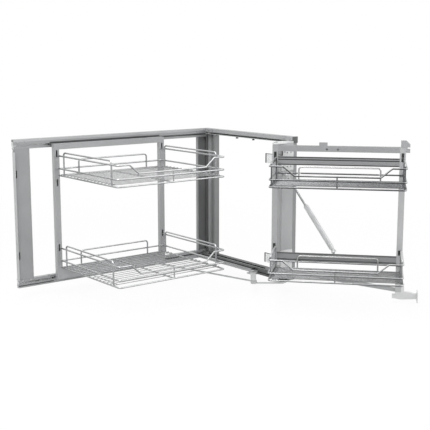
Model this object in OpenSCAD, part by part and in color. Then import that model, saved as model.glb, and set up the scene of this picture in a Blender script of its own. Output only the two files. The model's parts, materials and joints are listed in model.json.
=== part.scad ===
// Blind corner pull-out, shown fully open. Millimetres, +Z up.
// The rear wing runs along X, the side wing runs from its right end toward -Y.
// The front unit rides on the side rails and turns aside; the rear carriage slides along X.

/* [Fixed frame] */
// Length of the rear wing
wing_w = 840; // [800:5:960]
// Length of the side wing ahead of the rear wing
side_len = 496; // [480:2:560]
// Height of the frame
frame_h = 515; // [495:5:600]
// Depth of the rear rails
rail_d = 15; // [14:1:18]
// Sheet thickness of rails and posts
sheet = 2; // [1.6:0.1:2.4]
// Height of the rear top rail
rear_top_h = 33; // [30:1:40]
// Height of the rear bottom rail
rear_low_h = 30; // [28:1:36]
// Height of the running slot in each rail
slot_h = 6; // [5.5:0.5:8]
// Width of the left post
left_post_w = 56; // [40:1:70]
// Width of the rear right post
right_post_w = 50; // [40:1:56]
// Depth of the rear posts
post_d = 13; // [10:1:14]
// Width of the rolled lips of the left post
left_lip = 24; // [20:1:25]
// Width of the rolled lips of the other posts
post_lip = 9; // [6:1:14]
// Height of the side top rail
side_top_h = 22; // [20:1:28]
// Depth of the side top rail
side_top_d = 22; // [22:1:26]
// Height of the side bottom rail
side_low_h = 20; // [18:1:20]
// Width of the side bottom rail
side_low_w = 40; // [38:1:44]
// Width of the foot flange beside the side bottom rail
foot_w = 14; // [8:1:16]
// Width of the running slot in the top of the side bottom rail
low_slot_w = 22; // [18:1:23]
// Width of a side post
side_post_w = 58; // [40:1:66]
// Depth of a side post
side_post_d = 22; // [16:1:22]
// Floor screw spacing in the rear bottom rail
floor_screw_pitch = 600; // [400:10:700]
// Floor screw spacing in the side bottom rail
side_screw_pitch = 300; // [200:10:340]
// Radius of the floor screw holes
floor_screw_r = 2.5; // [2:0.1:3]

/* [Rear carriage] */
// Gap from the left end of the wing to the opened carriage
car_left = 136; // [130:1:150]
// Width of the carriage
car_w = 461; // [440:1:470]
// Depth of the uprights
car_d = 16; // [14:1:20]
// Gap from the rails to the carriage
car_gap = 14; // [12:1:16]
// Height of the carriage underside
car_low = 16; // [16:0.5:17]
// Drop from the frame top to the carriage top
car_drop = 20; // [19.5:0.5:20.5]
// Width of an upright
upright_w = 20; // [18:1:26]
// Wall of the upright tubes
tube_wall = 1.5; // [1.2:0.1:2]
// Height of the top bar
top_bar_h = 20; // [16:1:28]
// Height of the bottom plate
low_plate_h = 38; // [30:1:44]
// Length of a guide shoe
shoe_len = 60; // [40:2:80]
// Running clearance of the guide shoes
shoe_gap = 0.4; // [0.35:0.05:0.6]

/* [Baskets] */
// Diameter of the frame wires
wire_d = 5.5; // [4.5:0.5:6]
// Diameter of the floor wires
floor_d = 2.6; // [2.2:0.1:3]
// Spacing of the floor wires in a rear basket
rear_pitch = 22; // [18:1:26]
// Spacing of the floor wires in a front basket
front_pitch = 12; // [10:1:16]
// Bend radius of the corners
bend_r = 10; // [8:1:14]
// Height of the middle hoop
mid_h = 24; // [20:1:30]
// Height of the top hoop
top_h = 68; // [60:1:74]
// Height of the side galleries
gallery_h = 80; // [76:1:90]
// Height of the back gallery of a rear basket
rear_gallery_h = 52; // [46:1:60]
// Height of the dipped front wire
dip_h = 38; // [32:1:46]
// How much narrower a rear basket is than its carriage
rear_basket_less = 29; // [25:1:32]
// Depth of a rear basket
rear_basket_d = 378; // [360:1:380]
// Drop from the frame top to the upper rear basket
rear_upper_drop = 130; // [123:1:170]
// Height of the lower rear basket
rear_lower_z = 59; // [56:1:80]
// How much shorter a front basket is than the swing frame
front_basket_less = 3; // [2:1:9]
// Depth of a front basket
front_basket_d = 190; // [150:1:190]
// Drop from the frame top to the upper front basket
front_upper_drop = 140; // [133:1:170]
// Height of the lower front basket
front_lower_z = 66; // [62:1:78]
// Height of the back gallery of a front basket
front_gallery_h = 46; // [40:1:48]

/* [Front carriage] */
// Width of the sliding column
column_w = 52; // [48:1:54]
// Depth of the sliding column
column_d = 35; // [30:1:36]
// Gap between the column and the side posts
column_gap = 3; // [2.6:0.2:4]
// Offset of the column face in front of the side wing end
column_lead = 9; // [8:0.5:11]
// Distance from the column to the hinge axis
hinge_reach = 38; // [36:0.5:39]
// Distance of the hinge axis in front of the column face
hinge_lead = 7; // [5:0.5:9]
// Thickness of the hinge arms
arm_t = 4; // [3:0.5:4]
// Length of the front carriage's guide shoes
front_shoe_len = 44; // [36:1:50]
// Width of its lower guide shoe
front_shoe_w = 26; // [24:1:28]
// Radius of the hinge pins
pin_r = 4; // [3.5:0.1:4.5]
// Radial running fit of the pins
pin_fit = 0.05; // [0.02:0.01:0.1]
// Height of a hinge plate
plate_h = 74; // [60:1:76]
// Height of the plate tongue
tongue_h = 34; // [26:1:40]
// Length of the plate tongue
tongue_l = 88; // [70:1:90]
// Thickness of a hinge plate
plate_t = 2.5; // [2:0.1:3]
// Drop from the frame top to the upper hinge plate centre
plate_upper_drop = 77; // [72:1:84]
// Height of the lower hinge plate centre
plate_lower_z = 80; // [70:1:100]

/* [Swing frame] */
// Angle turned aside from straight out, degrees
swing_open = 41.5; // [40:0.5:42]
// Length of the swing frame from the hinge axis
swing_w = 437; // [435:1:440]
// Thickness of the swing frame
swing_t = 16; // [14:1:18]
// Width of the swing posts
swing_post_w = 20; // [18:1:22]
// Height of the swing frame's top bar
swing_bar_h = 20; // [16:1:24]
// Width of the tab on the top bar
tab_w = 28; // [20:1:32]
// Height of the tab above the top bar
tab_h = 12; // [8:1:14]
// Height of the upper support bar
upper_support_h = 26; // [20:1:28]
// Height of the lower support bar
lower_support_h = 34; // [28:1:34]
// Thickness of the support bars
support_t = 4; // [3:0.5:5]
// Drop from the frame top to the upper support bar underside
upper_support_drop = 86; // [83:1:88]
// Height of the lower support bar underside
lower_support_z = 87; // [86:1:88]
// Rise of the lower brace toward the hinge
brace_rise = 54; // [50:1:60]
// Height of the brace bar
brace_h = 14; // [10:1:18]

/* [Linkage and damper] */
// Distance of the lever pivot from the front end of the side wing
lever_from_end = 158; // [150:1:166]
// Distance of the lever pivot from the side bottom rail
lever_in = 22; // [21:0.5:23]
// Sideways reach of the lever to its pin
lever_side = 105; // [100:1:110]
// Forward reach of the lever to its pin
lever_ahead = 124; // [120:1:128]
// Sideways reach of the lever to its buffer
buffer_side = 25; // [20:1:30]
// Forward reach of the lever to its buffer
buffer_ahead = 189; // [184:1:194]
// Distance of the link pin from the right end of the carriage
link_in = 31; // [30:1:40]
// Distance of the lower damper ball from the hinge axis
ball_along = 206; // [200:1:212]
// Height of the lower damper ball above its support bar
ball_rise = 39; // [39:1:44]
// Distance of the lower damper ball behind the frame's middle plane
ball_back = 4; // [3.8:0.1:5]
// Thickness of the lever
lever_t = 4; // [3:0.5:4]
// Width of the lever
lever_w = 20; // [16:1:24]
// Diameter of the link rod
rod_d = 6; // [5:0.5:6]
// Clearance of the open eye at the lever pin
eye_gap = 3.5; // [3.4:0.1:3.8]
// Diameter of the damper body
damper_d = 17; // [15:0.5:19]
// Diameter of the damper rod
damper_rod_d = 8; // [6:0.5:9]
// Radius of the damper balls
ball_r = 5; // [4.6:0.1:5.2]
// Clearance of the upper ball in its cup
cup_gap = 3.6; // [3.5:0.1:3.8]

/* [Hidden] */
$fn = 40;
eps = 0.01;
x_left = -wing_w / 2;
x_right = wing_w / 2;
y_front = -rail_d / 2;
y_end = y_front - side_len;
z_top_rail = frame_h - rear_top_h;
slot_drop = 22;
top_slot_z = frame_h - slot_drop;
low_slot_z = car_low + 2;
neck_t = 3;
z_side_top = frame_h - side_top_h;
x_side_top = x_right - side_top_d;
x_side_low = x_right - side_low_w;
side_slot_z = z_side_top + 5;
side_slot_x = x_side_low + 10;
low_slot_x = x_side_low + sheet + 2;
side_screw_x = low_slot_x + low_slot_w / 2;
x_side_post = x_right - side_post_d;
post_in = 3;

car_x0 = x_left + car_left;
car_x1 = car_x0 + car_w;
car_y1 = y_front - car_gap;
car_y0 = car_y1 - car_d;
car_top = frame_h - car_drop;
rear_upper_z = frame_h - rear_upper_drop;
front_upper_z = frame_h - front_upper_drop;
upper_support_z = frame_h - upper_support_drop;
plate_upper_z = frame_h - plate_upper_drop;
basket_shift = 3;
rear_basket_w = car_w - rear_basket_less;
basket_x = car_x0 + (car_w - rear_basket_w) / 2 + basket_shift;
upright_slots = [rear_upper_z + top_h + 8, rear_upper_z - 25, rear_lower_z + top_h + 3];
floor_first = 16;

col_x1 = x_side_top - column_gap;
col_x0 = col_x1 - column_w;
col_y0 = y_end - column_lead;
col_y1 = col_y0 + column_d;
low_arm_z = side_low_h + 2;
col_z0 = low_arm_z + arm_t;
col_z1 = side_slot_z - arm_t / 2;
neck_y0 = y_end + 6;
hinge_x = col_x0 - hinge_reach;
hinge_y = col_y0 - hinge_lead;
hinge_boss = 9;
post_gap = 0.5;
post_z0 = col_z0 + post_gap;
post_z1 = col_z1 - post_gap;
swing_top = col_z1 - 3;
swing_low = -4;
half_post = swing_post_w / 2;
half_t = swing_t / 2;
front_basket_w = swing_w - front_basket_less;
front_x = swing_w + 2 - wire_d / 2 - 0.25 - front_basket_w;

lever_x = x_side_low - lever_in;
lever_y = y_end + lever_from_end;
lever_z = 4.3;
link_px = lever_x - lever_side;
link_py = lever_y - lever_ahead;
buffer_x = lever_x - buffer_side;
buffer_y = lever_y - buffer_ahead;
link_cx = car_x1 - link_in;
link_cy = (car_y0 + car_y1) / 2;
eye_z = lever_z + lever_t + 0.5;
eye_h = 6.6;

ball_z = lower_support_z + ball_rise;
turn = -(90 - swing_open);
ball_pos = [hinge_x + ball_along * cos(turn) - ball_back * sin(turn),
    hinge_y + ball_along * sin(turn) + ball_back * cos(turn), ball_z];
stud_pos = [col_x0 + ball_r, col_y0 - 4 * ball_r, plate_upper_z - plate_h / 2 - 3 * ball_r];
strut = stud_pos - ball_pos;
strut_l = norm(strut);

// Piece to draw, or all

// Colour of each finish
coat = [0.62, 0.63, 0.64];
chrome = [0.83, 0.84, 0.85];
zinc = [0.78, 0.79, 0.80];
nylon = [0.12, 0.12, 0.13];
pale = [0.80, 0.81, 0.82];

// Round bar between two points
module bar(p, q, d) {
    v = q - p;
    l = norm(v);
    translate(p)
        rotate([0, acos(v[2] / l), atan2(v[1], v[0])])
            cylinder(d = d, h = l);
}

// Quarter bend of round bar in the XY plane, starting at the given angle
module bend(at, from, r, d) {
    translate(at)
        rotate([0, 0, from])
            rotate_extrude(angle = 90)
                translate([r, 0])
                    circle(d = d);
}

// Box rail along X with a running slot in its front wall
module slotted_rail(l, d, h, slot_z) {
    difference() {
        cube([l, d, h]);
        translate([-1, sheet, sheet])
            cube([l + 2, d - 2 * sheet, h - 2 * sheet]);
        translate([-1, -1, slot_z - slot_h / 2])
            cube([l + 2, sheet + 2, slot_h]);
    }
}

// Upright lipped channel with its web toward -Y
module channel(w, d, h, lip) {
    linear_extrude(h)
        difference() {
            square([w, d]);
            translate([sheet, sheet])
                square([w - 2 * sheet, d - 2 * sheet]);
            translate([lip, d - sheet - 1])
                square([w - 2 * lip, sheet + 2]);
        }
}

// Rounded slot cutter through a wall facing -Y
module slot_cut(w, h) {
    rotate([90, 0, 0])
        translate([0, 0, -3])
            linear_extrude(6)
                union() {
                    translate([-w / 2, -h / 2 + w / 2])
                        square([w, h - w]);
                    translate([0, h / 2 - w / 2])
                        circle(d = w);
                    translate([0, -h / 2 + w / 2])
                        circle(d = w);
                }
}

// Screw hole in a rail floor with a wider driver hole straight above it
module screw_bore(h) {
    cylinder(r = floor_screw_r, h = sheet + 2);
    translate([0, 0, h - sheet])
        cylinder(r = 2 * floor_screw_r, h = sheet + 2);
}

// Fixed frame

module rear_top_rail() {
    color(coat)
        translate([x_left, y_front, z_top_rail])
            slotted_rail(wing_w, rail_d, rear_top_h, top_slot_z - z_top_rail);
}

module rear_bottom_rail() {
    color(coat)
        difference() {
            translate([x_left, y_front, 0])
                slotted_rail(wing_w, rail_d, rear_low_h, low_slot_z);
            for (x = [-floor_screw_pitch / 2, floor_screw_pitch / 2])
                translate([x, 0, -1])
                    screw_bore(rear_low_h);
        }
}

// Left post with two narrow slots beside its outer edge
module rear_left_post() {
    color(coat)
        difference() {
            translate([x_left + post_in, y_front + 1, rear_low_h])
                channel(left_post_w, post_d, z_top_rail - rear_low_h, left_lip);
            for (z = [0.22, 0.77])
                translate([x_left + post_in + 5, y_front + 1, z * frame_h])
                    slot_cut(4, 27);
        }
}

// Edge strip standing proud of the left post: a face, a web and a tab against the post
module left_edge_strip() {
    strip_w = 8;
    proud = 10;
    strip_h = z_top_rail - rear_low_h - 9;
    color(coat)
        translate([x_left, y_front - proud, rear_low_h])
            union() {
                translate([-strip_w, 0, 0])
                    cube([strip_w, sheet, strip_h]);
                translate([-sheet, 0, 0])
                    cube([sheet, proud + post_d / 2, strip_h]);
                translate([-sheet, proud + post_d / 2 - sheet, 0])
                    cube([sheet + post_in, sheet, strip_h]);
            }
}

module rear_right_post() {
    color(coat)
        translate([x_right - 9, y_front + 1 + post_d, rear_low_h])
            rotate([0, 0, 180])
                channel(right_post_w, post_d, z_top_rail - rear_low_h, sheet);
}

module side_top_rail() {
    color(coat)
        difference() {
            translate([x_side_top, y_end, z_side_top])
                cube([side_top_d, side_len, side_top_h]);
            translate([x_side_top + sheet, y_end - 1, z_side_top + sheet])
                cube([side_top_d - 2 * sheet, side_len + 2, side_top_h - 2 * sheet]);
            translate([x_side_top - 1, y_end - 1, side_slot_z - slot_h / 2])
                cube([sheet + 2, side_len + 2, slot_h]);
        }
}

// Floor rail of the side wing: channel with a wide slot in its top and a foot flange
module side_bottom_rail() {
    color(coat)
        difference() {
            union() {
                translate([x_side_low, y_end, 0])
                    cube([side_low_w, side_len, side_low_h]);
                translate([x_side_low - foot_w, y_end, 0])
                    cube([foot_w + 1, side_len, sheet]);
            }
            translate([x_side_low + sheet, y_end - 1, sheet])
                cube([side_low_w - 2 * sheet, side_len + 2, side_low_h - 2 * sheet]);
            translate([low_slot_x, y_end - 1, side_low_h - sheet - 1])
                cube([low_slot_w, side_len + 2, sheet + 2]);
            for (y = [0, side_screw_pitch])
                translate([side_screw_x, y_front - 90 - y, -1])
                    cylinder(r = floor_screw_r, h = sheet + 2);
        }
}

// Side post: lipped channel open toward the cabinet inside
module side_post(y) {
    translate([x_right, y, side_low_h])
        rotate([0, 0, 90])
            channel(side_post_w, side_post_d, z_side_top - side_low_h, post_lip);
}

module side_rear_post() {
    color(coat)
        side_post(y_front - side_post_w);
}

module side_front_post() {
    color(coat)
        side_post(y_end);
}

module rail_end_cap() {
    color(nylon)
        translate([x_side_top, y_end - 4, z_side_top])
            cube([side_top_d, 4, side_top_h]);
}

module rail_stops() {
    color(nylon)
        for (part = [0.37, 0.56])
            translate([x_right - 14, y_front - part * side_len, z_side_top - 6]) {
                cylinder(r = 3, h = 6);
                cylinder(r = 5, h = 3);
            }
}

// Dark roller on a pin standing on the foot flange behind the lever pivot
module foot_roller() {
    color(nylon)
        translate([x_side_low - foot_w / 2, lever_y + 19, sheet])
            union() {
                cylinder(r = 5.5, h = side_low_h - sheet - 5);
                cylinder(r = 3, h = side_low_h - sheet - 2);
            }
}

// Pan head screws on the rail faces in front of the posts
module frame_screws() {
    color(zinc) {
        for (x = [x_left + 16, x_left + 46, x_right - 62, x_right - 38])
            for (z = [frame_h - 9, rear_low_h - 5])
                translate([x, y_front, z])
                    rotate([90, 0, 0])
                        cylinder(r = 3.5, h = 1.6);
        for (y = [y_front - 20, y_front - 44, y_end + 15, y_end + 42])
            translate([x_side_top, y, frame_h - 7])
                rotate([0, -90, 0])
                    cylinder(r = 3.5, h = 1.4);
        translate([x_right - 7, y_front - 0.63 * side_len, side_low_h])
            cylinder(r = 3.5, h = 1.5);
    }
}

// Bracket lying on the floor beside the side rail, with the lever pin
module lever_bracket() {
    color(zinc) {
        translate([lever_x - 17, lever_y - 17, 0])
            cube([x_side_low - foot_w - lever_x + 17, 34, 4]);
        translate([lever_x, lever_y, 4 - eps])
            cylinder(r = pin_r, h = lever_z + lever_t + 0.4 - 4 + eps);
    }
}

module lever_nut() {
    color(zinc)
        translate([lever_x, lever_y, lever_z + lever_t + 0.4])
            cylinder(r = 7, h = 4, $fn = 6);
}

// Rear carriage

// Closed tube with hook slots in its front face
module upright(x, slots) {
    color(coat)
        difference() {
            translate([x, car_y0, car_low])
                cube([upright_w, car_d, car_top - car_low]);
            translate([x + tube_wall, car_y0 + tube_wall, car_low + 2])
                cube([upright_w - 2 * tube_wall, car_d - 2 * tube_wall, car_top - car_low - 4]);
            for (z = slots)
                translate([x + upright_w / 2, car_y0, z])
                    slot_cut(6, 25);
        }
}

module rear_left_upright() {
    upright(car_x0, upright_slots);
}

module rear_right_upright() {
    upright(car_x1 - upright_w, upright_slots);
}

module rear_top_bar() {
    color(coat)
        difference() {
            translate([car_x0 + upright_w, car_y0, car_top - top_bar_h])
                cube([car_w - 2 * upright_w, car_d, top_bar_h]);
            translate([car_x0 + upright_w - 1, car_y0 + tube_wall, car_top - top_bar_h - 1])
                cube([car_w - 2 * upright_w + 2, car_d, top_bar_h + 1 - tube_wall]);
        }
}

// Bottom plate: a tall web with a turned flange along each long edge
module rear_bottom_plate() {
    color(coat)
        difference() {
            translate([car_x0 + upright_w, car_y0, car_low])
                cube([car_w - 2 * upright_w, car_d, low_plate_h]);
            translate([car_x0 + upright_w - 1, car_y0 + sheet, car_low + sheet])
                cube([car_w - 2 * upright_w + 2, car_d, low_plate_h - 2 * sheet]);
        }
}

module rear_glide_arms() {
    color(zinc)
        for (x = [car_x0, car_x1 - shoe_len])
            for (z = [top_slot_z, low_slot_z])
                translate([x, car_y1, z - neck_t / 2])
                    cube([shoe_len, car_gap + sheet + 2, neck_t]);
}

// Guide shoes filling the rail cavity, one at each arm
module rear_glides() {
    color(nylon)
        for (x = [car_x0, car_x1 - shoe_len]) {
            translate([x, y_front + sheet + 2, z_top_rail + sheet + shoe_gap])
                cube([shoe_len, rail_d - 2 * sheet - 2 - shoe_gap,
                    rear_top_h - 2 * sheet - 2 * shoe_gap]);
            translate([x, y_front + sheet + 2, sheet + shoe_gap])
                cube([shoe_len, rail_d - 2 * sheet - 2 - shoe_gap,
                    rear_low_h - 2 * sheet - 2 * shoe_gap]);
        }
}

// Wire baskets, drawn with the back plane at y = 0 and the front toward -Y

// Hoop running from the back plane round the front, level all the way
module level_hoop(w, d, z) {
    translate([0, 0, z]) {
        bar([0, 0, 0], [0, -d + bend_r, 0], wire_d);
        bend([bend_r, -d + bend_r, 0], 180, bend_r, wire_d);
        bar([bend_r, -d, 0], [w - bend_r, -d, 0], wire_d);
        bend([w - bend_r, -d + bend_r, 0], 270, bend_r, wire_d);
        bar([w, -d + bend_r, 0], [w, 0, 0], wire_d);
    }
}

// Top hoop with its front wire stepped down between two slopes
module dipped_hoop(w, d) {
    slope_x = 36;
    high = [45, w - 45];
    drop = dip_h - top_h;
    translate([0, 0, top_h]) {
        bar([0, 0, 0], [0, -d + bend_r, 0], wire_d);
        bend([bend_r, -d + bend_r, 0], 180, bend_r, wire_d);
        bar([bend_r, -d, 0], [high[0], -d, 0], wire_d);
        bar([high[0], -d, 0], [high[0] + slope_x, -d, drop], wire_d);
        bar([high[0] + slope_x, -d, drop], [high[1] - slope_x, -d, drop], wire_d);
        bar([high[1] - slope_x, -d, drop], [high[1], -d, 0], wire_d);
        bar([high[1], -d, 0], [w - bend_r, -d, 0], wire_d);
        for (p = [[high[0], 0], [high[0] + slope_x, drop],
                [high[1] - slope_x, drop], [high[1], 0]])
            translate([p[0], -d, p[1]])
                sphere(d = wire_d);
        bend([w - bend_r, -d + bend_r, 0], 270, bend_r, wire_d);
        bar([w, -d + bend_r, 0], [w, 0, 0], wire_d);
    }
}

// Inverted U standing on the X axis, from x = 0 to x = l
module gallery(l, h) {
    g = 10;
    bar([0, 0, 0], [0, 0, h - g], wire_d);
    bar([g, 0, h], [l - g, 0, h], wire_d);
    bar([l, 0, 0], [l, 0, h - g], wire_d);
    translate([0, 0, h - g])
        rotate([90, 0, 0]) {
            bend([g, 0, 0], 90, g, wire_d);
            bend([l - g, 0, 0], 0, g, wire_d);
        }
}

// Number of floor wire gaps in a basket of the given depth and wire spacing
function floor_gaps(d, pitch) = floor((d - 2 * floor_first) / pitch);

// Welded wire frame of one basket; the gallery legs stand midway between floor wires
module basket(w, d, pitch, back_inset, back_h) {
    weld = wire_d - 0.8;
    leg_from = floor_first + 0.5 * pitch;
    leg_to = floor_first + (floor_gaps(d, pitch) - 0.5) * pitch;
    color(chrome) {
        level_hoop(w, d, 0);
        level_hoop(w, d, mid_h);
        dipped_hoop(w, d);
        for (z = [0, mid_h])
            bar([0, -wire_d / 2, z], [w, -wire_d / 2, z], wire_d);
        bar([w / 2, -wire_d / 2, 0], [w / 2, -d, 0], wire_d);
        bar([w / 2, -d, 0], [w / 2, -d, dip_h], wire_d - 1);
        for (x = [weld, w - weld])
            translate([x, -leg_from, 0])
                rotate([0, 0, -90])
                    gallery(leg_to - leg_from, gallery_h);
        translate([back_inset, -wire_d / 2 - weld, 0])
            gallery(w - 2 * back_inset, back_h);
    }
}

// Floor grille resting on the bottom hoop and the centre bar
module basket_floor(w, d, pitch) {
    n = floor_gaps(d, pitch);
    lift = wire_d / 2 + floor_d / 2 + 0.1;
    edge = 14;
    color(chrome)
        translate([0, 0, lift]) {
            for (i = [0:n])
                bar([-1, -floor_first - i * pitch, 0],
                    [w + 1, -floor_first - i * pitch, 0], floor_d);
            for (x = [edge, w - edge])
                bar([x, -floor_first, -0.2],
                    [x, -floor_first - n * pitch, -0.2], floor_d);
        }
}

module rear_basket_at(z) {
    translate([basket_x, car_y0, z])
        children();
}

module rear_upper_basket() {
    rear_basket_at(rear_upper_z)
        basket(rear_basket_w, rear_basket_d, rear_pitch, 74, rear_gallery_h);
}

module rear_upper_floor() {
    rear_basket_at(rear_upper_z)
        basket_floor(rear_basket_w, rear_basket_d, rear_pitch);
}

module rear_lower_basket() {
    rear_basket_at(rear_lower_z)
        basket(rear_basket_w, rear_basket_d, rear_pitch, 74, rear_gallery_h);
}

module rear_lower_floor() {
    rear_basket_at(rear_lower_z)
        basket_floor(rear_basket_w, rear_basket_d, rear_pitch);
}

// Linkage on the cabinet floor

module rear_link_pin() {
    color(zinc)
        translate([link_cx, link_cy, 0]) {
            translate([0, 0, eye_z - 0.4])
                cylinder(r = pin_r, h = car_low - eye_z + 0.4);
            translate([0, 0, eye_z - 2])
                cylinder(r = 7, h = 1.6);
        }
}

// Rod with a running eye at the carriage and an open eye at the lever
module link_rod() {
    run = norm([link_px - link_cx, link_py - link_cy]);
    aim = atan2(link_py - link_cy, link_px - link_cx);
    color(zinc)
        translate([link_cx, link_cy, eye_z])
            rotate([0, 0, aim])
                difference() {
                    union() {
                        cylinder(r = pin_r + 7, h = eye_h);
                        translate([run, 0, 0])
                            cylinder(r = pin_r + eye_gap + 4, h = eye_h);
                        translate([pin_r + 5, 0, eye_h / 2])
                            rotate([0, 90, 0])
                                cylinder(d = rod_d, h = run - 2 * pin_r - eye_gap - 8);
                    }
                    translate([0, 0, -1])
                        cylinder(r = pin_r + pin_fit, h = eye_h + 2);
                    translate([run, 0, -1])
                        cylinder(r = pin_r + eye_gap, h = eye_h + 2);
                }
}

// Plan outline of a bar with round ends between two points
module bar_outline(p, q, w) {
    v = q - p;
    l = norm(v);
    translate([p[0], p[1]])
        rotate([0, 0, atan2(v[1], v[0])])
            union() {
                translate([0, -w / 2])
                    square([l, w]);
                circle(d = w);
                translate([l, 0])
                    circle(d = w);
            }
}

// Cranked lever: pivot on the floor bracket, pin for the rod, arm to the buffer
module link_lever() {
    head_z = lever_t + eye_h + 1;
    color(zinc)
        translate([0, 0, lever_z]) {
            linear_extrude(lever_t)
                difference() {
                    union() {
                        bar_outline([lever_x, lever_y], [link_px, link_py], lever_w);
                        bar_outline([link_px, link_py], [buffer_x, buffer_y], rod_d + 1);
                    }
                    translate([lever_x, lever_y])
                        circle(r = pin_r + pin_fit);
                }
            translate([link_px, link_py, lever_t - 1])
                cylinder(r = pin_r, h = head_z - lever_t + 1.6);
            translate([link_px, link_py, head_z])
                cylinder(r = pin_r + eye_gap + 2.5, h = 1.2);
        }
}

module lever_buffer() {
    color(nylon)
        translate([buffer_x, buffer_y, lever_z + lever_t])
            cylinder(r = 12, h = 7.5);
}

// Front carriage

module column() {
    color(coat)
        difference() {
            translate([col_x0, col_y0, col_z0])
                channel(column_w, column_d, col_z1 - col_z0, post_lip);
            plate_holes(plate_upper_z);
            plate_holes(plate_lower_z);
        }
}

// Plan outline shared by both hinge arms
module arm_outline() {
    difference() {
        union() {
            translate([col_x0, col_y0])
                square([column_w, column_d]);
            translate([hinge_x, hinge_y - hinge_boss])
                square([col_x0 - hinge_x + 8, hinge_boss + hinge_lead + column_d / 3]);
            translate([hinge_x, hinge_y])
                circle(r = hinge_boss);
        }
        translate([hinge_x, hinge_y])
            circle(r = pin_r + pin_fit);
    }
}

module column_top_arm() {
    color(coat)
        translate([0, 0, col_z1])
            union() {
                linear_extrude(arm_t)
                    arm_outline();
                translate([col_x1 - 1, neck_y0, 0])
                    cube([column_gap + sheet + 2, col_y1 - neck_y0, arm_t]);
            }
}

module column_bottom_arm() {
    color(coat)
        union() {
            translate([0, 0, low_arm_z])
                linear_extrude(arm_t)
                    arm_outline();
            translate([side_slot_x - 2, neck_y0, side_low_h - 4])
                cube([4, col_y1 - neck_y0, low_arm_z - side_low_h + 5]);
        }
}

// Guide shoes of the front carriage, in the side top rail and the side bottom rail
module column_glides() {
    color(nylon) {
        translate([x_side_top + sheet + 1, neck_y0, z_side_top + sheet + shoe_gap])
            cube([side_top_d - 2 * sheet - 1 - shoe_gap, front_shoe_len,
                side_top_h - 2 * sheet - 2 * shoe_gap]);
        translate([x_side_low + sheet + shoe_gap, neck_y0, sheet + shoe_gap])
            cube([front_shoe_w, front_shoe_len, side_low_h - 4 - sheet - shoe_gap]);
    }
}

// Zinc angle: base on the column face, tongue running back along its side
module hinge_plate(z) {
    color(zinc)
        difference() {
            union() {
                translate([col_x0 - plate_t, col_y0 - plate_t, z - plate_h / 2])
                    cube([column_w + plate_t - 1, plate_t, plate_h]);
                translate([col_x0 - plate_t, col_y0 - plate_t, z - tongue_h / 2])
                    cube([plate_t, tongue_l, tongue_h]);
            }
            translate([col_x0 - 5, col_y0 + 0.72 * tongue_l, z])
                rotate([0, 90, 0])
                    cylinder(r = 4, h = 10);
            plate_holes(z);
        }
}

// Four round holes through a hinge plate and the column face behind it
module plate_holes(z) {
    for (part = [0.42, 0.74])
        for (dz = [-plate_h / 3, plate_h / 3])
            translate([col_x0 + part * column_w, col_y0 + sheet + 1, z + dz])
                rotate([90, 0, 0])
                    cylinder(r = 2.6, h = sheet + plate_t + 2);
}

module hinge_plate_upper() {
    hinge_plate(plate_upper_z);
}

module hinge_plate_lower() {
    hinge_plate(plate_lower_z);
}

module hinge_pins() {
    color(zinc)
        translate([hinge_x, hinge_y, 0]) {
            translate([0, 0, post_z1 - 10])
                cylinder(r = pin_r, h = col_z1 + arm_t - post_z1 + 10);
            translate([0, 0, col_z1 + arm_t])
                cylinder(r = 7, h = 2.5);
            translate([0, 0, low_arm_z])
                cylinder(r = pin_r, h = post_z0 - low_arm_z + 10);
            translate([0, 0, low_arm_z - 2.5])
                cylinder(r = 7, h = 2.5);
        }
}

module plate_screws() {
    color(zinc)
        for (z = [plate_upper_z, plate_lower_z])
            for (dz = [-plate_h / 2 + 8, plate_h / 2 - 8])
                translate([col_x0 + 9, col_y0 - plate_t, z + dz])
                    rotate([90, 0, 0])
                        cylinder(r = 3.5, h = 1.5);
}

module damper_stud() {
    color(zinc) {
        translate(stud_pos)
            sphere(r = ball_r);
        translate([stud_pos[0], col_y0, stud_pos[2]])
            rotate([90, 0, 0])
                cylinder(r = 2.5, h = col_y0 - stud_pos[1]);
        translate([stud_pos[0], col_y0, stud_pos[2]])
            rotate([90, 0, 0])
                cylinder(r = 5, h = 2);
    }
}

// Swing frame, drawn with the hinge axis at the origin, the frame along +X, baskets toward -Y
module swing() {
    translate([hinge_x, hinge_y, 0])
        rotate([0, 0, turn])
            children();
}

// Hinge post: tube with solid bored ends
module swing_hinge_post() {
    plug = 32;
    color(coat)
        swing()
            difference() {
                translate([-half_post, -half_t, post_z0])
                    cube([swing_post_w, swing_t, post_z1 - post_z0]);
                translate([-half_post + tube_wall, -half_t + tube_wall, post_z0 + plug])
                    cube([swing_post_w - 2 * tube_wall, swing_t - 2 * tube_wall,
                        post_z1 - post_z0 - 2 * plug]);
                translate([0, 0, post_z0 - 1])
                    cylinder(r = pin_r + pin_fit, h = 15);
                translate([0, 0, post_z1 - 14])
                    cylinder(r = pin_r + pin_fit, h = 15);
                for (z = [front_upper_z + top_h + 13, front_lower_z + top_h + 3])
                    translate([0, -half_t, z])
                        slot_cut(6, 20);
            }
}

module swing_outer_post() {
    color(coat)
        swing()
            difference() {
                translate([swing_w - swing_post_w, -half_t, swing_low])
                    cube([swing_post_w, swing_t, swing_top - swing_low]);
                translate([swing_w - swing_post_w + tube_wall, -half_t + tube_wall, swing_low + 3])
                    cube([swing_post_w - 2 * tube_wall, swing_t - 2 * tube_wall,
                        swing_top - swing_low - 6]);
                for (z = [front_upper_z + top_h + 21, front_upper_z + top_h + 7, front_lower_z + top_h - 3])
                    translate([swing_w - half_post, -half_t, z])
                        slot_cut(6, 11);
            }
}

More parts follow.
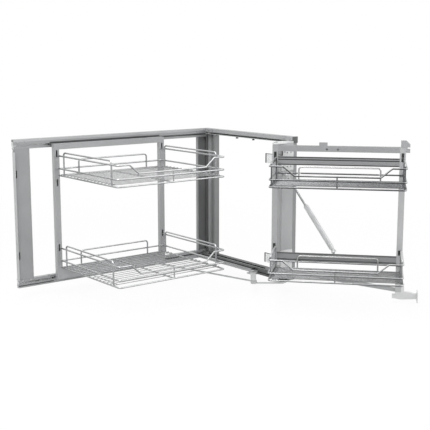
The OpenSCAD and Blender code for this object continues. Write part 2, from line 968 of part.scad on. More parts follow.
// Top bar with a raised tab and two holes
module swing_top_bar() {
    from = half_post;
    to = swing_w - swing_post_w;
    color(coat)
        swing()
            difference() {
                union() {
                    translate([from, -half_t, swing_top - swing_bar_h])
                        cube([to - from, swing_t, swing_bar_h]);
                    translate([0.34 * swing_w, -half_t, swing_top - tube_wall])
                        cube([tab_w, 2 * tube_wall, tab_h + tube_wall]);
                }
                translate([from - 1, -half_t + tube_wall, swing_top - swing_bar_h - 1])
                    cube([to - from + 2, swing_t - 2 * tube_wall, swing_bar_h + 1 - tube_wall]);
                for (x = [0.4 * swing_w, 0.485 * swing_w])
                    translate([x, -half_t - 1, swing_top - 0.55 * swing_bar_h])
                        rotate([-90, 0, 0])
                            cylinder(r = 2.2, h = 5);
            }
}

module support_bar(z, h) {
    color(coat)
        swing()
            translate([half_post, -half_t, z])
                cube([swing_w - swing_post_w - half_post, support_t, h]);
}

module upper_support_bar() {
    support_bar(upper_support_z, upper_support_h);
}

module lower_support_bar() {
    support_bar(lower_support_z, lower_support_h);
}

// Brace rising from the foot of the outer post to the hinge post
module lower_brace() {
    from = half_post;
    to = swing_w - swing_post_w;
    color(coat)
        swing()
            translate([0, 2, 0])
                rotate([90, 0, 0])
                    linear_extrude(4)
                        polygon([[to, swing_low], [to, swing_low + brace_h],
                            [from, swing_low + brace_rise + brace_h],
                            [from, swing_low + brace_rise]]);
}

module front_basket_at(z) {
    swing()
        translate([front_x, -half_t, z])
            children();
}

module front_upper_basket() {
    front_basket_at(front_upper_z)
        basket(front_basket_w, front_basket_d, front_pitch, 80, front_gallery_h);
}

module front_upper_floor() {
    front_basket_at(front_upper_z)
        basket_floor(front_basket_w, front_basket_d, front_pitch);
}

module front_lower_basket() {
    front_basket_at(front_lower_z)
        basket(front_basket_w, front_basket_d, front_pitch, 80, front_gallery_h);
}

module front_lower_floor() {
    front_basket_at(front_lower_z)
        basket_floor(front_basket_w, front_basket_d, front_pitch);
}

// Hooded clip on the outer post: sloped roof, notch and a door block beside the post
module door_bracket_upper() {
    hood_l = 30;
    hood_h = 22;
    wall = 3;
    out = 13;
    block_h = 18;
    color(pale)
        swing()
            difference() {
                translate([swing_w, 10, swing_top])
                    rotate([90, 0, 0])
                        linear_extrude(20)
                            polygon([[out - hood_l, 0], [out - hood_l, hood_h], [0, hood_h],
                                [out, 0.45 * hood_h], [out, 0], [out / 3, 0], [out / 3, -6],
                                [out, -6], [out, -block_h], [0, -block_h], [0, 0]]);
                translate([swing_w + out - hood_l + wall, wall - 10, swing_top - 1])
                    cube([hood_l - out - wall, 20 - 2 * wall, hood_h - wall + 1]);
                for (z = [swing_top - 12, swing_top + 5])
                    translate([swing_w + 4, 0, z])
                        rotate([0, 90, 0])
                            cylinder(r = 2.5, h = out);
            }
}

// Lower door bracket: leg beside the outer post, tapered arm, clamp block and door flange
module door_bracket_lower() {
    reach = 56;
    leg_w = 10;
    leg_h = 28;
    color(pale)
        swing()
            difference() {
                union() {
                    translate([swing_w - swing_post_w, half_t, 0])
                        rotate([90, 0, 0])
                            linear_extrude(swing_t)
                                polygon([[0, swing_low], [0, swing_low - 22],
                                    [swing_post_w, swing_low - 25],
                                    [swing_post_w + reach, swing_low - 21],
                                    [swing_post_w + reach, swing_low - 7],
                                    [swing_post_w + reach / 2, swing_low],
                                    [swing_post_w + leg_w, swing_low],
                                    [swing_post_w + leg_w, swing_low + leg_h],
                                    [swing_post_w, swing_low + leg_h],
                                    [swing_post_w, swing_low]]);
                    translate([swing_w - swing_post_w - 10, -11, swing_low - 21])
                        cube([26, 19, 12]);
                    translate([swing_w + reach - 3, -22, swing_low - 32])
                        cube([3, 44, 36]);
                }
                for (y = [-15, 15])
                    translate([swing_w + reach - 8, y, swing_low - 14])
                        rotate([0, 90, 0])
                            cylinder(r = 2.5, h = 12);
            }
}

// Damper

module damper_ball() {
    color(zinc)
        swing() {
            translate([ball_along - 10, -half_t + support_t, lower_support_z + 6])
                cube([20, ball_back + half_t, ball_z - lower_support_z - 16]);
            translate([ball_along, ball_back, ball_z - 11])
                cylinder(r = 2.2, h = 11);
            translate([ball_along, ball_back, ball_z])
                sphere(r = ball_r);
        }
}

// Frame with +Z along the damper and the origin on its lower ball
module along_strut() {
    translate(ball_pos)
        rotate([0, acos(strut[2] / strut_l), atan2(strut[1], strut[0])])
            children();
}

// Cylinder with its ball socket and the rod gland
module damper_cylinder() {
    body_l = 0.6 * strut_l;
    bore_from = 0.2 * strut_l;
    color(pale)
        along_strut()
            difference() {
                union() {
                    sphere(r = 9);
                    translate([0, 0, 4])
                        cylinder(r = 6.5, h = 12);
                    translate([0, 0, 14])
                        cylinder(d = damper_d, h = body_l - 14);
                    translate([0, 0, body_l])
                        cylinder(r = damper_d / 2 - 2, h = 4);
                }
                sphere(r = ball_r + pin_fit);
                translate([-12, -12, -13.5])
                    cube([24, 24, 12]);
                translate([0, 0, bore_from])
                    cylinder(r = damper_d / 2 - 2, h = body_l - bore_from - 6);
                translate([0, 0, bore_from])
                    cylinder(r = damper_rod_d / 2 + pin_fit, h = body_l);
            }
}

module damper_rod() {
    rod_from = 0.36 * strut_l;
    color(chrome)
        along_strut()
            translate([0, 0, rod_from])
                cylinder(d = damper_rod_d, h = strut_l - rod_from - ball_r - cup_gap - 1);
}

// Open cup behind the upper ball, facing the stud through the whole swing
module damper_cup() {
    cup_r = ball_r + cup_gap + 2.6;
    open_to = 90 + swing_open / 2;
    color(nylon)
        translate(stud_pos)
            rotate([0, 90, open_to])
                rotate_extrude()
                    difference() {
                        intersection() {
                            circle(r = cup_r);
                            translate([0, -20])
                                square([20, 21]);
                        }
                        circle(r = ball_r + cup_gap);
                    }
}

rear_top_rail();
rear_bottom_rail();
rear_left_post();
left_edge_strip();
rear_right_post();
side_top_rail();
side_bottom_rail();
side_rear_post();
side_front_post();
rail_end_cap();
rail_stops();
foot_roller();
frame_screws();
lever_bracket();
lever_nut();
rear_left_upright();
rear_right_upright();
rear_top_bar();
rear_bottom_plate();
rear_glide_arms();
rear_glides();
rear_upper_basket();
rear_upper_floor();
rear_lower_basket();
rear_lower_floor();
rear_link_pin();
link_rod();
link_lever();
lever_buffer();
column();
column_top_arm();
column_bottom_arm();
column_glides();
hinge_plate_upper();
hinge_plate_lower();
hinge_pins();
plate_screws();
damper_stud();
swing_hinge_post();
swing_outer_post();
swing_top_bar();
upper_support_bar();
lower_support_bar();
lower_brace();
front_upper_basket();
front_upper_floor();
front_lower_basket();
front_lower_floor();
door_bracket_upper();
door_bracket_lower();
damper_ball();
damper_cylinder();
damper_rod();
damper_cup();
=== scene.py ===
import bmesh
import bpy
import json
import math
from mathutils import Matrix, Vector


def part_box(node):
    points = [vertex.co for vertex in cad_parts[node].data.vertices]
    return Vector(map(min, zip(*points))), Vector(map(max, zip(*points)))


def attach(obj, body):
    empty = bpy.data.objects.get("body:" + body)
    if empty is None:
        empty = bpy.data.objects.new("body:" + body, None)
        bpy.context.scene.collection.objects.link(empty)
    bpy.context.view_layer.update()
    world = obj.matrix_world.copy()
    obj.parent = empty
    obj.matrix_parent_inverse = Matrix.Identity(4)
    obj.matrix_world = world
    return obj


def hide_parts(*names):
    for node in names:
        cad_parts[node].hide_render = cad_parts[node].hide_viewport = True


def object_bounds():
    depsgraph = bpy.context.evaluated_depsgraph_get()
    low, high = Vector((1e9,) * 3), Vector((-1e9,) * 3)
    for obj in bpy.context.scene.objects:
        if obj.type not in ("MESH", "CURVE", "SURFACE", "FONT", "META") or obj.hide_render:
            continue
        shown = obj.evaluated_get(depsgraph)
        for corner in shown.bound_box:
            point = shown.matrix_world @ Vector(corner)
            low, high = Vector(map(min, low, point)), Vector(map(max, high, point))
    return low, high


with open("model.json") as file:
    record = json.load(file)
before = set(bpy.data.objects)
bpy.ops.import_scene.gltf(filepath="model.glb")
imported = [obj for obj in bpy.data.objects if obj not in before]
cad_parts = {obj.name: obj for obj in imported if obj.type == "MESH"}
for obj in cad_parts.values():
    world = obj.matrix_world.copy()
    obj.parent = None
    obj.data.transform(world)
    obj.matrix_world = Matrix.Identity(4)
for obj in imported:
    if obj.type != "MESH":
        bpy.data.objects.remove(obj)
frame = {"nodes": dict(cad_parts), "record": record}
cad_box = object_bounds()
scene = bpy.context.scene
scene.view_settings.view_transform = "Standard"

# Directions in the shared frame: x runs along the rear wing and y back to the wall
right, left = (1.0, 0.0, 0.0), (-1.0, 0.0, 0.0)
rearward, forward = (0.0, 1.0, 0.0), (0.0, -1.0, 0.0)
up, down = (0.0, 0.0, 1.0), (0.0, 0.0, -1.0)

# The swing frame at rest: its hinge in plan, the way it runs from there and the way to its back
hinge = (0.305, -0.5195)
swing_along = (0.6626, -0.7490, 0.0)
swing_back = (0.7490, 0.6626, 0.0)
swing_front = tuple(-v for v in swing_back)
hinge_along = hinge[0] * swing_along[0] + hinge[1] * swing_along[1]
hinge_back = hinge[0] * swing_back[0] + hinge[1] * swing_back[1]

# Its front face, measured back from the hinge axis
swing_face = -0.008


def on_swing(along, back, height):
    return tuple(hinge[i] + along * swing_along[i] + back * swing_back[i]
                 for i in range(2)) + (height,)


# Camera at the photograph's view
cam_data = bpy.data.cameras.new("camera")
cam_data.sensor_width = 36.0
cam_data.lens = 74.83
cam = bpy.data.objects.new("camera", cam_data)
cam.location = (-1.7487, -2.7855, 0.7853)
cam.rotation_euler = (math.radians(80.047), 0.0, math.radians(-38.296))
scene.collection.objects.link(cam)
scene.camera = cam


# Node helpers. A value may be a socket, which is linked, or a constant, which is set.
def feed(nt, socket, value):
    if isinstance(value, bpy.types.NodeSocket):
        nt.links.new(value, socket)
    else:
        socket.default_value = value


def calc(nt, operation, *values):
    node = nt.nodes.new("ShaderNodeMath")
    node.operation = operation
    for socket, value in zip(node.inputs, values):
        feed(nt, socket, value)
    return node.outputs["Value"]


# Vector operations that give one number: DOT_PRODUCT, DISTANCE and LENGTH
def measure(nt, operation, *vectors):
    node = nt.nodes.new("ShaderNodeVectorMath")
    node.operation = operation
    for socket, vector in zip(node.inputs, vectors):
        feed(nt, socket, vector)
    return node.outputs["Value"]


def map_range(nt, value, source, target):
    node = nt.nodes.new("ShaderNodeMapRange")
    for name, limit in zip(("From Min", "From Max", "To Min", "To Max"), (*source, *target)):
        node.inputs[name].default_value = limit
    nt.links.new(value, node.inputs[0])
    return node.outputs[0]


# A colour ramp through stops, each a position and a colour
def ramp(nt, value, *stops):
    node = nt.nodes.new("ShaderNodeValToRGB")
    elements = node.color_ramp.elements
    for element, (position, colour) in zip(elements, (stops[0], stops[-1])):
        element.position = position
        element.color = (*colour, 1.0)
    for position, colour in stops[1:-1]:
        elements.new(position).color = (*colour, 1.0)
    nt.links.new(value, node.inputs[0])
    return node.outputs["Color"]


def node_of(nt, kind):
    return [n for n in nt.nodes if n.type == kind][0]


def normal_of(nt):
    return nt.nodes.new("ShaderNodeNewGeometry").outputs["Normal"]


def new_material(name):
    mat = bpy.data.materials.new(name)
    mat.use_nodes = True
    nt = mat.node_tree
    nt.nodes.clear()
    out = nt.nodes.new("ShaderNodeOutputMaterial")
    bsdf = nt.nodes.new("ShaderNodeBsdfPrincipled")
    nt.links.new(bsdf.outputs[0], out.inputs[0])
    coord = nt.nodes.new("ShaderNodeTexCoord")
    return mat, nt, bsdf, coord


# The span of noise values over which a tone or a roughness changes
noise_span = (0.3, 0.7)
even = (1.0, 1.0, 1.0)
fine_detail = 2.0
grain_height = 0.0004


def noise(nt, coord, scale, detail=3.0, stretch=even):
    mapping = nt.nodes.new("ShaderNodeMapping")
    mapping.inputs["Scale"].default_value = stretch
    nt.links.new(coord.outputs["Object"], mapping.inputs["Vector"])
    tex = nt.nodes.new("ShaderNodeTexNoise")
    tex.inputs["Scale"].default_value = scale
    tex.inputs["Detail"].default_value = detail
    nt.links.new(mapping.outputs[0], tex.inputs["Vector"])
    return tex.outputs["Fac"]


def blotches(nt, value, low, high):
    return ramp(nt, value, (noise_span[0], low), (noise_span[1], high))


# Fine grain: it changes the roughness and raises a slight bump
def grain_surface(nt, bsdf, fine, rough, strength):
    nt.links.new(map_range(nt, fine, noise_span, rough), bsdf.inputs["Roughness"])
    node = nt.nodes.new("ShaderNodeBump")
    node.inputs["Strength"].default_value = strength
    node.inputs["Distance"].default_value = grain_height
    nt.links.new(fine, node.inputs["Height"])
    nt.links.new(node.outputs[0], bsdf.inputs["Normal"])


# Painted shade: darkens a colour inside slots, tubes and narrow gaps, down to the share that is
# left deepest in
hollow_reach = 0.016
hollow_span = (0.10, 0.50)


def hollow_shade(nt, colour, deepest):
    ao = nt.nodes.new("ShaderNodeAmbientOcclusion")
    ao.samples = 8
    ao.inputs["Distance"].default_value = hollow_reach
    scaled = nt.nodes.new("ShaderNodeVectorMath")
    scaled.operation = "SCALE"
    nt.links.new(colour, scaled.inputs[0])
    nt.links.new(map_range(nt, ao.outputs["AO"], hollow_span, (deepest, 1.0)),
                 scaled.inputs["Scale"])
    return scaled.outputs[0]


materials = {}


# Coats, zinc and plastics, each with painted shade in its hollows. The defaults are those of a
# powder coat.
def finish_material(name, low, high, rough, metallic=0.35, tone_scale=9.0, grain_scale=900.0,
                    grain=0.12, stretch=even, deepest=0.08):
    mat, nt, bsdf, coord = new_material(name)
    tone = noise(nt, coord, tone_scale, 4.0, stretch)
    nt.links.new(hollow_shade(nt, blotches(nt, tone, low, high), deepest),
                 bsdf.inputs["Base Color"])
    bsdf.inputs["Metallic"].default_value = metallic
    grain_surface(nt, bsdf, noise(nt, coord, grain_scale, fine_detail, stretch), rough, grain)
    materials[name] = mat


# Chrome wire with painted reflection: bright above and dark below, as round bar mirrors a pale
# ceiling and a dark floor, and a painted highlight at the flanks that face along the swing frame
chrome_stops = (0.05, 0.50, 0.95)
reflection_tilt = 0.5
wave_scale = 30.0
wave_share = 0.24
polish_scale = 400.0
polish_grain = 0.03


def chrome_material(name, low, mid, high, rough, base=0.38, flank_highlight=0.0):
    mat, nt, bsdf, coord = new_material(name)
    normal = normal_of(nt)
    split = nt.nodes.new("ShaderNodeSeparateXYZ")
    nt.links.new(normal, split.inputs[0])
    tilt = calc(nt, "MULTIPLY_ADD", split.outputs["Z"], reflection_tilt, base)
    waved = calc(nt, "MULTIPLY_ADD", noise(nt, coord, wave_scale, 1.0), wave_share, tilt)
    side = calc(nt, "ABSOLUTE", measure(nt, "DOT_PRODUCT", normal, swing_along))
    level = calc(nt, "MULTIPLY_ADD", side, flank_highlight, waved)
    nt.links.new(ramp(nt, level, *zip(chrome_stops, (low, mid, high))),
                 bsdf.inputs["Base Color"])
    bsdf.inputs["Metallic"].default_value = 1.0
    grain_surface(nt, bsdf, noise(nt, coord, polish_scale, fine_detail), rough, polish_grain)
    materials[name] = mat


# Masks for a second colour on part of a material, mostly painted light and shade. Each is one where
# its rule holds, else zero.
# A point, or a face's normal, lies further along a direction than a limit:
def beyond(nt, source, direction, limit):
    return calc(nt, "GREATER_THAN", measure(nt, "DOT_PRODUCT", source, direction), limit)


# A point is nearer to a place than a radius:
def near(nt, source, place, radius):
    return calc(nt, "LESS_THAN", measure(nt, "DISTANCE", source, place), radius)


def join(nt, operation, masks):
    result = masks[0]
    for mask in masks[1:]:
        result = calc(nt, operation, result, mask)
    return result


def every(nt, *masks):
    return join(nt, "MULTIPLY", masks)


def either(nt, *masks):
    return join(nt, "MAXIMUM", masks)


def between(nt, source, direction, limits):
    reverse = tuple(-d for d in direction)
    return every(nt, beyond(nt, source, direction, limits[0]),
                 beyond(nt, source, reverse, -limits[1]))


# The node tree of a material and the point that it is shading
def tree_and_spot(slot):
    nt = materials[slot].node_tree
    return nt, node_of(nt, "TEX_COORD").outputs["Object"]


# Gives the masked part of a material a second colour, mostly painted light and shade, with its own
# variation in tone
mix_a, mix_b, mix_result = 6, 7, 2
repaint_scale = 9.0


def repaint(nt, mask, low, high):
    bsdf = node_of(nt, "BSDF_PRINCIPLED")
    colour = blotches(nt, noise(nt, node_of(nt, "TEX_COORD"), repaint_scale), low, high)
    pick = nt.nodes.new("ShaderNodeMix")
    pick.data_type = "RGBA"
    nt.links.new(mask, pick.inputs["Factor"])
    nt.links.new(bsdf.inputs["Base Color"].links[0].from_socket, pick.inputs[mix_a])
    nt.links.new(colour, pick.inputs[mix_b])
    nt.links.new(pick.outputs[mix_result], bsdf.inputs["Base Color"])


# Powder coats: darker tone, lighter tone and range of roughness. The grey powder coat is copied
# lighter and darker as painted light and shade for where its parts stand, and the two seam colours
# are painted shade in the grooves of the support bars.
frame_rough = (0.38, 0.48)
carriage_rough = (0.36, 0.46)
seam_rough = (0.44, 0.54)
finish_material("frame_coat", (0.31, 0.315, 0.32), (0.35, 0.355, 0.36), frame_rough)
finish_material("rear_rail_coat", (0.31, 0.315, 0.32), (0.35, 0.355, 0.36), frame_rough)
finish_material("side_rail_coat", (0.40, 0.405, 0.41), (0.45, 0.455, 0.46), frame_rough,
                deepest=0.6)
finish_material("side_post_coat", (0.21, 0.213, 0.216), (0.24, 0.243, 0.246), frame_rough,
                deepest=0.7)
finish_material("back_post_coat", (0.26, 0.264, 0.268), (0.30, 0.304, 0.308), (0.40, 0.50))
finish_material("rail_shade", (0.14, 0.142, 0.144), (0.18, 0.182, 0.184), (0.50, 0.60),
                deepest=0.5)
finish_material("edge_coat", (0.46, 0.465, 0.47), (0.52, 0.525, 0.53), carriage_rough)
finish_material("carriage_coat", (0.36, 0.365, 0.37), (0.40, 0.405, 0.41), carriage_rough)
finish_material("front_coat", (0.45, 0.455, 0.46), (0.50, 0.505, 0.51), carriage_rough)
finish_material("top_bar_coat", (0.32, 0.325, 0.33), (0.36, 0.365, 0.37), carriage_rough)
finish_material("bar_coat", (0.29, 0.295, 0.30), (0.33, 0.335, 0.34), carriage_rough)
finish_material("seam_shade", (0.075, 0.076, 0.078), (0.10, 0.102, 0.104), seam_rough)
finish_material("low_seam_shade", (0.13, 0.132, 0.134), (0.17, 0.172, 0.174), seam_rough)
finish_material("clip_coat", (0.34, 0.345, 0.35), (0.39, 0.395, 0.40), carriage_rough,
                tone_scale=14.0)
finish_material("bracket_grey", (0.67, 0.675, 0.68), (0.73, 0.735, 0.74), (0.34, 0.44),
                metallic=0.25, tone_scale=14.0, grain_scale=800.0, grain=0.10)
finish_material("damper_grey", (0.52, 0.525, 0.53), (0.59, 0.595, 0.60), (0.28, 0.38),
                metallic=0.3, tone_scale=20.0, grain_scale=600.0, grain=0.06)

# Zinc, brushed upright
brushed = {"tone_scale": 60.0, "grain_scale": 300.0, "stretch": (1.0, 1.0, 6.0)}
for name in ("hinge_zinc", "plate_zinc"):
    finish_material(name, (0.74, 0.745, 0.75), (0.82, 0.825, 0.83), (0.26, 0.40),
                    metallic=0.25, grain=0.06, **brushed)
finish_material("zinc", (0.44, 0.445, 0.45), (0.54, 0.545, 0.55), (0.24, 0.40),
                metallic=0.9, grain=0.08, **brushed)

# Plastics
finish_material("cap_grey", (0.10, 0.102, 0.104), (0.15, 0.152, 0.154), (0.40, 0.50),
                metallic=0.1, tone_scale=30.0)
finish_material("dark_nylon", (0.016, 0.016, 0.018), (0.030, 0.030, 0.032), (0.45, 0.60),
                metallic=0.0, tone_scale=40.0, grain_scale=700.0, grain=0.15)

# Chrome of the baskets and of their floor wires, copied lighter and darker as painted light and
# shade for each basket and floor
wire_rough = (0.24, 0.34)
floor_rough = (0.16, 0.28)
chrome_material("wire_chrome", (0.10, 0.10, 0.105), (0.38, 0.385, 0.39), (0.66, 0.665, 0.67),
                wire_rough)
chrome_material("front_chrome", (0.03, 0.03, 0.032), (0.20, 0.204, 0.208), (0.62, 0.625, 0.63),
                wire_rough, base=0.32, flank_highlight=0.34)
chrome_material("upper_chrome", (0.02, 0.02, 0.022), (0.12, 0.122, 0.125), (0.52, 0.525, 0.53),
                wire_rough, base=0.22, flank_highlight=0.46)
chrome_material("rear_grille", (0.08, 0.08, 0.084), (0.28, 0.284, 0.288), (0.50, 0.504, 0.508),
                (0.14, 0.26))
chrome_material("front_grille", (0.04, 0.04, 0.043), (0.15, 0.153, 0.156), (0.24, 0.244, 0.248),
                floor_rough)
chrome_material("low_grille", (0.05, 0.05, 0.053), (0.19, 0.193, 0.196), (0.30, 0.304, 0.308),
                floor_rough)

# Each piece takes the material of its slot in the record, apart from these
own_material = {
    "rear_top_rail": "rear_rail_coat",
    "rear_bottom_rail": "rear_rail_coat",
    "side_top_rail": "side_rail_coat",
    "side_bottom_rail": "rail_shade",
    "side_rear_post": "side_post_coat",
    "rear_right_post": "back_post_coat",
    "left_edge_strip": "edge_coat",
    "rail_end_cap": "cap_grey",
    "rear_upper_floor": "rear_grille",
    "rear_lower_floor": "rear_grille",
    "column": "front_coat",
    "column_top_arm": "plate_zinc",
    "hinge_plate_upper": "hinge_zinc",
    "hinge_plate_lower": "hinge_zinc",
    "swing_outer_post": "front_coat",
    "swing_top_bar": "top_bar_coat",
    "upper_support_bar": "bar_coat",
    "lower_support_bar": "bar_coat",
    "lower_brace": "carriage_coat",
    "front_upper_basket": "upper_chrome",
    "front_upper_floor": "front_grille",
    "front_lower_basket": "front_chrome",
    "front_lower_floor": "low_grille",
    "door_bracket_upper": "clip_coat",
    "damper_ball": "plate_zinc",
}
record_slot = {s["node"]: s["material_slot"] for s in frame["record"]["subparts"]}
for name, obj in frame["nodes"].items():
    mat = materials[own_material.get(name, record_slot[name])]
    if obj.material_slots:
        for slot in obj.material_slots:
            slot.material = mat
    else:
        obj.data.materials.append(mat)


# Second colours, mostly painted light and shade, on parts of materials. A face counts as turned to
# a direction when its normal lies this far along it.
square_on = 0.7
half_on = 0.5

# The side bottom rail is dark with painted shade, with a painted shade line in the crease above its
# foot and a painted shadow low down past the lever. The foot flange has painted light as far as the
# lever, and the inside is bright with painted light.
foot_edge = 0.3802
foot_top = 0.0090
foot_end = -0.3450
side_inside = (0.3815, 0.4185)
side_inside_height = (0.0010, 0.0190)
foot_shade_line = (0.0090, 0.0140)
lever_shadow_band = (0.0000, 0.0060)
nt, spot = tree_and_spot("rail_shade")
outward = beyond(nt, normal_of(nt), left, square_on)
by_foot = beyond(nt, spot, rearward, foot_end)
past_foot = beyond(nt, spot, forward, -foot_end)
repaint(nt, every(nt, between(nt, spot, right, side_inside),
                  between(nt, spot, up, side_inside_height)),
        (0.60, 0.605, 0.61), (0.68, 0.685, 0.69))
repaint(nt, every(nt, beyond(nt, spot, left, -foot_edge), beyond(nt, spot, down, -foot_top),
                  by_foot),
        (0.42, 0.425, 0.43), (0.48, 0.485, 0.49))
shade_lines = either(nt, every(nt, by_foot, between(nt, spot, up, foot_shade_line)),
               every(nt, past_foot, between(nt, spot, up, lever_shadow_band)))
repaint(nt, every(nt, outward, shade_lines), (0.025, 0.026, 0.027), (0.04, 0.041, 0.042))

# The rear rails have painted light on their top faces and top edge. Left of the carriage they are
# bright inside with painted light, with a painted shade line low on the bottom rail; behind the
# carriage the top rail's slot has a band of painted shade along it.
left_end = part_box("rear_left_upright")[0][0]
right_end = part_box("rear_right_upright")[1][0]
lit_top_height = 0.5065
inner_face = -0.0060
top_inside = (0.4830, 0.5140)
low_inside = (0.0010, 0.0290)
slot_shade_band = (0.4955, 0.5005)
bottom_shade_line = (0.0050, 0.0090)
nt, spot = tree_and_spot("rear_rail_coat")
facing = normal_of(nt)
outside = every(nt, beyond(nt, facing, forward, square_on),
                beyond(nt, spot, forward, -inner_face))
left_part = beyond(nt, spot, left, -left_end)
by_carriage = between(nt, spot, right, (left_end, right_end))
repaint(nt, every(nt, left_part, beyond(nt, spot, rearward, inner_face),
                  either(nt, between(nt, spot, up, top_inside),
                         between(nt, spot, up, low_inside))),
        (0.86, 0.865, 0.87), (0.92, 0.925, 0.93))
repaint(nt, either(nt, beyond(nt, facing, up, square_on), beyond(nt, spot, up, lit_top_height)),
        (0.42, 0.425, 0.43), (0.48, 0.485, 0.49))
for part, heights in ((by_carriage, slot_shade_band), (left_part, bottom_shade_line)):
    repaint(nt, every(nt, outside, part, between(nt, spot, up, heights)),
            (0.06, 0.061, 0.063), (0.09, 0.091, 0.093))

# The side rear post is a channel that opens to the rear wing, and its coat is darkened as painted
# shade. Its corner lip has painted shade, the corner beside its web a painted highlight, and the
# web painted light near the corner and painted shade away from there.
lip_side = 0.4050
corner_shine = 0.4100
corner_side = -0.0300
web_bright = -0.0190
nt, spot = tree_and_spot("side_post_coat")
facing = normal_of(nt)
inward = beyond(nt, facing, left, half_on)
by_corner = beyond(nt, spot, rearward, corner_side)
web = every(nt, inward, beyond(nt, spot, right, lip_side))
repaint(nt, web, (0.24, 0.243, 0.246), (0.28, 0.283, 0.286))
repaint(nt, every(nt, web, beyond(nt, spot, rearward, web_bright)),
        (0.40, 0.405, 0.41), (0.45, 0.455, 0.46))
repaint(nt, every(nt, inward, by_corner, beyond(nt, spot, left, -lip_side)),
        (0.12, 0.122, 0.124), (0.15, 0.152, 0.154))
repaint(nt, every(nt, by_corner, beyond(nt, facing, forward, half_on),
                  beyond(nt, spot, right, corner_shine)),
        (0.60, 0.605, 0.61), (0.66, 0.665, 0.67))

# The hinge plates' tongues are darker at their end and along the top
tongue_right = 0.3434
tongue_end = -0.4330
upper_tongue_top = 0.4550
lower_tongue_top = 0.0970
rim = 0.0020
nt, spot = tree_and_spot("hinge_zinc")
edges = either(nt, beyond(nt, spot, rearward, tongue_end),
               beyond(nt, spot, up, upper_tongue_top - rim),
               between(nt, spot, up, (lower_tongue_top - rim, lower_tongue_top + rim)))
repaint(nt, every(nt, beyond(nt, spot, left, -tongue_right), edges),
        (0.05, 0.051, 0.053), (0.08, 0.081, 0.083))

# The two holes of the swing frame's top bar have rims of painted shade
hole_places = (0.1748, 0.2119)
hole_height = 0.4816
hole_shade_radius = 0.0034
nt, spot = tree_and_spot("top_bar_coat")
repaint(nt, either(nt, *[near(nt, spot, on_swing(along, swing_face, hole_height), hole_shade_radius)
                         for along in hole_places]),
        (0.03, 0.031, 0.032), (0.05, 0.051, 0.053))

# The slots in the posts of the swing frame have rims of painted shade
slot_half = 0.0045
slot_depth = -0.0040
hinge_post_slots = ((0.4440, 0.4710), (0.1250, 0.1520))
outer_post_slots = ((0.4575, 0.4730), (0.4435, 0.4565), (0.1245, 0.1420))
for slot, along, spans in (("carriage_coat", 0.0, hinge_post_slots),
                           ("front_coat", 0.427, outer_post_slots)):
    nt, spot = tree_and_spot(slot)
    middle = hinge_along + along
    repaint(nt, every(nt, beyond(nt, spot, swing_front, -hinge_back - slot_depth),
                      between(nt, spot, swing_along, (middle - slot_half, middle + slot_half)),
                      either(nt, *[between(nt, spot, up, span) for span in spans])),
            (0.020, 0.0205, 0.021), (0.030, 0.0305, 0.031))

# The back galleries of the front baskets, legs and all, have painted light, brighter than the wires
# below them
gallery_face = -0.0200
gallery_legs = ((0.0780, 0.0880), (0.3500, 0.3600))
leg_reach = 0.0280
lighter = 0.08
for slot, gallery_low, tone in (("upper_chrome", 0.407, 0.46), ("front_chrome", 0.098, 0.42)):
    nt, spot = tree_and_spot(slot)
    legs = either(nt, *[between(nt, spot, swing_along, (hinge_along + start, hinge_along + end))
                        for start, end in gallery_legs])
    legs = every(nt, legs, beyond(nt, spot, up, gallery_low - leg_reach))
    repaint(nt, every(nt, beyond(nt, spot, swing_back, hinge_back + gallery_face),
                      either(nt, legs, beyond(nt, spot, up, gallery_low))),
            (tone,) * 3, (tone + lighter,) * 3)


# A support bar of the swing frame as a rolled section: its front face steps back into grooves
# coloured with painted shade.
# Each step has a top, a bottom and a depth behind the front face.
bar_reach = (0.010, 0.417)
bar_thickness = 0.004
seam = 0.0025


def rolled_bar(name, node, seam_shade_slot, steps):
    profile = []
    for top, bottom, depth in steps:
        profile += [(swing_face + depth, top), (swing_face + depth, bottom)]
    back_face = swing_face + bar_thickness
    profile += [(back_face, steps[-1][1]), (back_face, steps[0][0])]
    count = len(profile)
    points = [on_swing(along, *p) for along in bar_reach for p in profile]
    faces = [(i, (i + 1) % count, (i + 1) % count + count, i + count) for i in range(count)]
    faces += [tuple(range(count)), tuple(range(count, 2 * count))]
    mesh = bpy.data.meshes.new(name)
    mesh.from_pydata(points, [], faces)
    for slot in ("bar_coat", seam_shade_slot):
        mesh.materials.append(materials[slot])
    for i, (_, _, depth) in enumerate(steps):
        if depth:
            mesh.polygons[2 * i].material_index = 1
    clean = bmesh.new()
    clean.from_mesh(mesh)
    bmesh.ops.recalc_face_normals(clean, faces=clean.faces)
    clean.to_mesh(mesh)
    clean.free()
    bar = bpy.data.objects.new(name, mesh)
    scene.collection.objects.link(bar)
    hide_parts(node)
    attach(bar, "swing_frame")


rolled_bar("upper_support_section", "upper_support_bar", "seam_shade",
           ((0.4550, 0.4505, seam), (0.4505, 0.4470, 0.0), (0.4470, 0.4430, seam),
            (0.4430, 0.4300, 0.0), (0.4300, 0.4260, seam)))
rolled_bar("lower_support_section", "lower_support_bar", "low_seam_shade",
           ((0.1210, 0.1160, seam), (0.1160, 0.0990, 0.0), (0.0990, 0.0950, seam),
            (0.0950, 0.0870, 0.0)))


# One where a ray from the eye, a mirror or a clear piece meets the surround
def seen_rays(nt):
    path = nt.nodes.new("ShaderNodeLightPath")
    return either(nt, path.outputs["Is Camera Ray"], path.outputs["Is Glossy Ray"],
                  path.outputs["Is Transmission Ray"])


def mix_shaders(nt, share, first, second):
    node = nt.nodes.new("ShaderNodeMixShader")
    for socket, value in zip(node.inputs, (share, first, second)):
        nt.links.new(value, socket)
    return node.outputs[0]


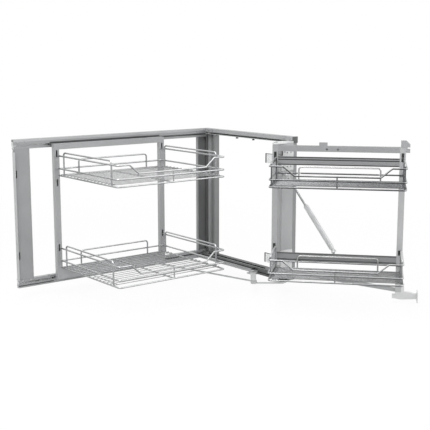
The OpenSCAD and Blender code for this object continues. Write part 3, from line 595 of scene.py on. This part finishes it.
# Floor: where it is seen it is nearly white, and keeps only a trace of the shadow near the part
white = (1.0, 1.0, 1.0, 1.0)
floor_reach = 12.0
floor_z = -0.040
floor_scale = 1.5
fade_radius = (1.0, 2.2)
fade_share = (0.93, 1.0)
floor_mesh = bpy.data.meshes.new("floor")
floor_mesh.from_pydata([(-floor_reach, -floor_reach, floor_z), (floor_reach, -floor_reach, floor_z),
                        (floor_reach, floor_reach, floor_z), (-floor_reach, floor_reach, floor_z)],
                       [], [(0, 1, 2, 3)])
floor = bpy.data.objects.new("floor", floor_mesh)
scene.collection.objects.link(floor)
floor_mat, nt, bsdf, coord = new_material("floor")
nt.links.new(blotches(nt, noise(nt, coord, floor_scale), (0.90, 0.90, 0.90), (0.93, 0.93, 0.93)),
             bsdf.inputs["Base Color"])
bsdf.inputs["Roughness"].default_value = 0.9
glow = nt.nodes.new("ShaderNodeEmission")
glow.inputs["Color"].default_value = white
glow.inputs["Strength"].default_value = 1.0
fade = map_range(nt, measure(nt, "LENGTH", coord.outputs["Object"]), fade_radius, fade_share)
seen = mix_shaders(nt, fade, bsdf.outputs[0], glow.outputs[0])
nt.links.new(mix_shaders(nt, seen_rays(nt), bsdf.outputs[0], seen),
             node_of(nt, "OUTPUT_MATERIAL").inputs[0])
floor_mesh.materials.append(floor_mat)

# Surround: white where it is seen, and dimmer as a light
world = bpy.data.worlds.new("studio")
scene.world = world
world.use_nodes = True
nt = world.node_tree
nt.nodes.clear()
out = nt.nodes.new("ShaderNodeOutputWorld")
backgrounds = []
for strength in (0.53, 1.0):
    node = nt.nodes.new("ShaderNodeBackground")
    node.inputs["Color"].default_value = white
    node.inputs["Strength"].default_value = strength
    backgrounds.append(node.outputs[0])
nt.links.new(mix_shaders(nt, seen_rays(nt), *backgrounds), out.inputs[0])


# Lamps
def area_light(name, place, aim, size, power):
    data = bpy.data.lights.new(name, "AREA")
    data.shape = "RECTANGLE"
    data.size = size[0]
    data.size_y = size[1]
    data.energy = power
    obj = bpy.data.objects.new(name, data)
    obj.location = place
    d = [aim[i] - place[i] for i in range(3)]
    flat = math.hypot(d[0], d[1])
    obj.rotation_euler = (math.atan2(flat, -d[2]), 0.0, math.atan2(d[1], d[0]) - math.pi / 2)
    scene.collection.objects.link(obj)


centre = [(cad_box[0][i] + cad_box[1][i]) / 2 for i in range(3)]
area_light("key", place=(-2.1, -1.4, 2.6), aim=centre, size=(2.0, 2.0), power=60.0)
area_light("fill", place=(1.8, -2.6, 1.6), aim=centre, size=(1.6, 1.6), power=22.0)
area_light("top", place=(0.05, 0.05, 3.4), aim=(0.05, 0.0, 0.0), size=(1.6, 1.6), power=30.0)
